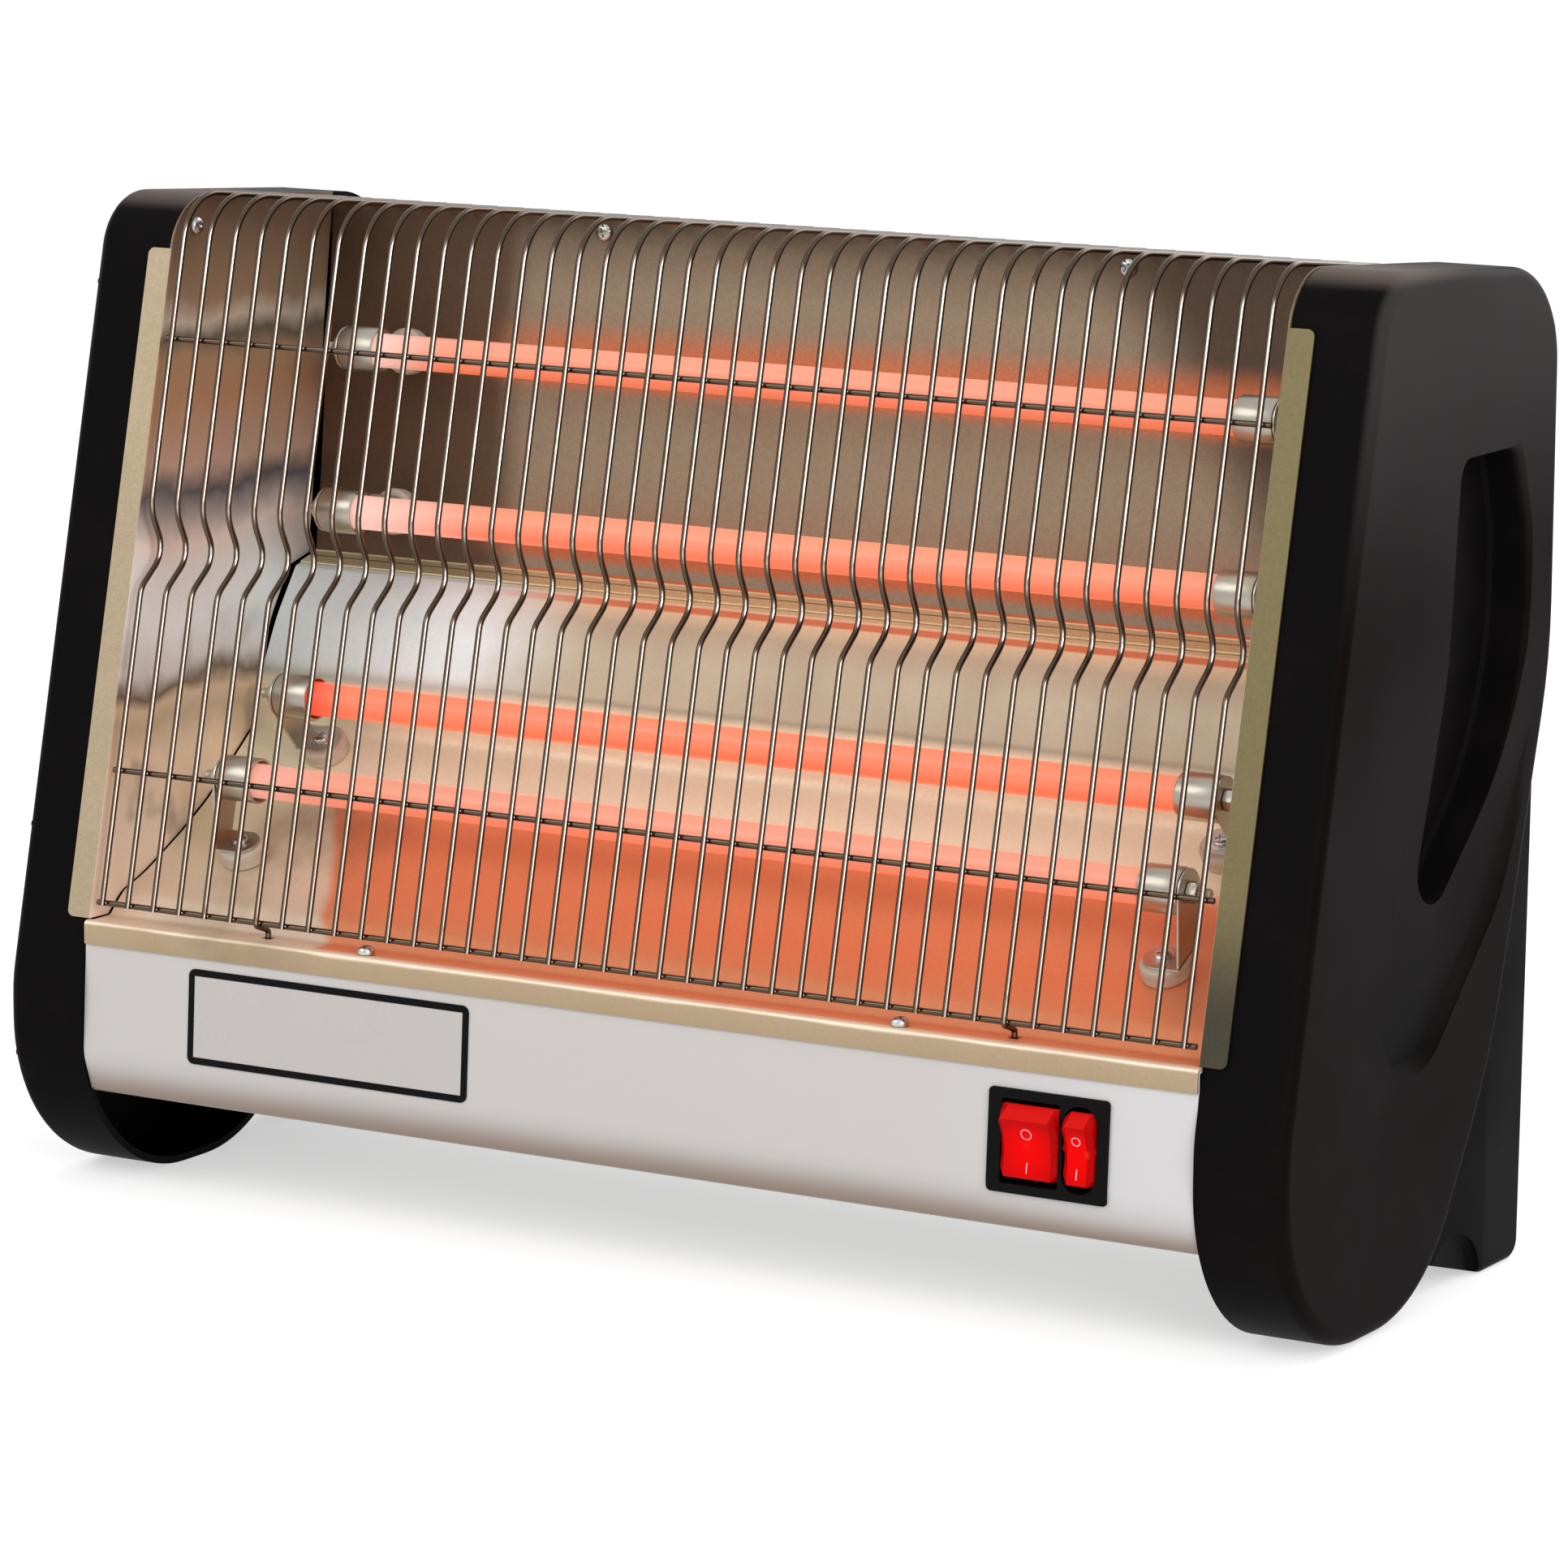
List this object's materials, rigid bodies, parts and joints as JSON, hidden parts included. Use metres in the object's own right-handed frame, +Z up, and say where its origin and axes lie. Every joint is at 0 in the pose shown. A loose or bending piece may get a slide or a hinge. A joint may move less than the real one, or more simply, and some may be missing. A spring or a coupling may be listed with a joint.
{
  "type": "electric quartz tube heater",
  "caption": "Free-standing radiant heater: quartz tubes over bent reflectors behind a wire guard, between moulded black side panels with handle pockets.",
  "frame": {"origin": "on the floor under the middle of the whole heater", "axes": "+X to the right seen from the front, -Y out of the front, +Z up"},
  "size_m": [0.58, 0.232, 0.4025],
  "materials": {
    "base_steel": "galvanised",
    "ceramic": "unglazed off-white",
    "cheek_steel": "bright steel, mirror-like with stains",
    "clip_steel": "zinc plated",
    "coil_wire": "glowing wound wire",
    "cover_paint": "black enamel",
    "fascia_paint": "smooth off-white enamel",
    "grille_wire": "bright chromed wire",
    "lead_sleeve": "woven glass sleeve",
    "lower_reflector_steel": "bright satin steel",
    "panel_plastic": "satin moulded black",
    "plate_plastic": "black",
    "quartz": "milky quartz, lit",
    "rocker_red": "clear red, lit from inside",
    "switch_plastic": "black",
    "upper_reflector_steel": "speckled satin steel",
    "zinc_steel": "zinc plated"
  },
  "bodies": {
    "casing": {"base_plate": "base_steel", "cord_gland": "switch_plastic", "front_fascia": "fascia_paint", "guard_grille": "grille_wire", "heating_coil_1": "coil_wire", "heating_coil_2": "coil_wire", "heating_coil_3": "coil_wire", "heating_coil_4": "coil_wire", "insulator_1_left": "ceramic", "insulator_1_right": "ceramic", "insulator_2_left": "ceramic", "insulator_2_right": "ceramic", "insulator_3_left": "ceramic", "insulator_3_right": "ceramic", "insulator_4_left": "ceramic", "insulator_4_right": "ceramic", "left_reflector_screw": "zinc_steel", "left_side_panel": "panel_plastic", "left_side_reflector": "cheek_steel", "left_side_screw": "zinc_steel", "left_tray_screw": "zinc_steel", "lower_reflector": "lower_reflector_steel", "narrow_switch_body": "switch_plastic", "quartz_tube_1": "quartz", "quartz_tube_2": "quartz", "quartz_tube_3": "quartz", "quartz_tube_4": "quartz", "rear_cover": "cover_paint", "right_reflector_screw": "zinc_steel", "right_side_panel": "panel_plastic", "right_side_reflector": "cheek_steel", "right_side_screw": "zinc_steel", "right_tray_screw": "zinc_steel", "switch_plate": "plate_plastic", "terminal_block": "ceramic", "tube_cap_1_left": "zinc_steel", "tube_cap_1_right": "zinc_steel", "tube_cap_2_left": "zinc_steel", "tube_cap_2_right": "zinc_steel", "tube_cap_3_left": "zinc_steel", "tube_cap_3_right": "zinc_steel", "tube_cap_4_left": "zinc_steel", "tube_cap_4_right": "zinc_steel", "tube_clip_1_left": "clip_steel", "tube_clip_1_right": "clip_steel", "tube_clip_2_left": "clip_steel", "tube_clip_2_right": "clip_steel", "tube_clip_3_left": "clip_steel", "tube_clip_3_right": "clip_steel", "tube_clip_4_left": "clip_steel", "tube_clip_4_right": "clip_steel", "upper_reflector": "upper_reflector_steel", "wide_switch_body": "switch_plastic", "wiring_harness": "lead_sleeve"},
    "wide_rocker": {"wide_rocker": "rocker_red"},
    "narrow_rocker": {"narrow_rocker": "rocker_red"}
  },
  "joints": [
    {"name": "wide_rocker_tilt", "type": "hinge", "parent": "casing", "child": "wide_rocker", "pos_m": [0.184, -0.10844, 0.077], "axis": [-1, 0, 0], "range_deg": [0, 14]},
    {"name": "narrow_rocker_tilt", "type": "hinge", "parent": "casing", "child": "narrow_rocker", "pos_m": [0.205, -0.10844, 0.077], "axis": [-1, 0, 0], "range_deg": [0, 14]}
  ]
}
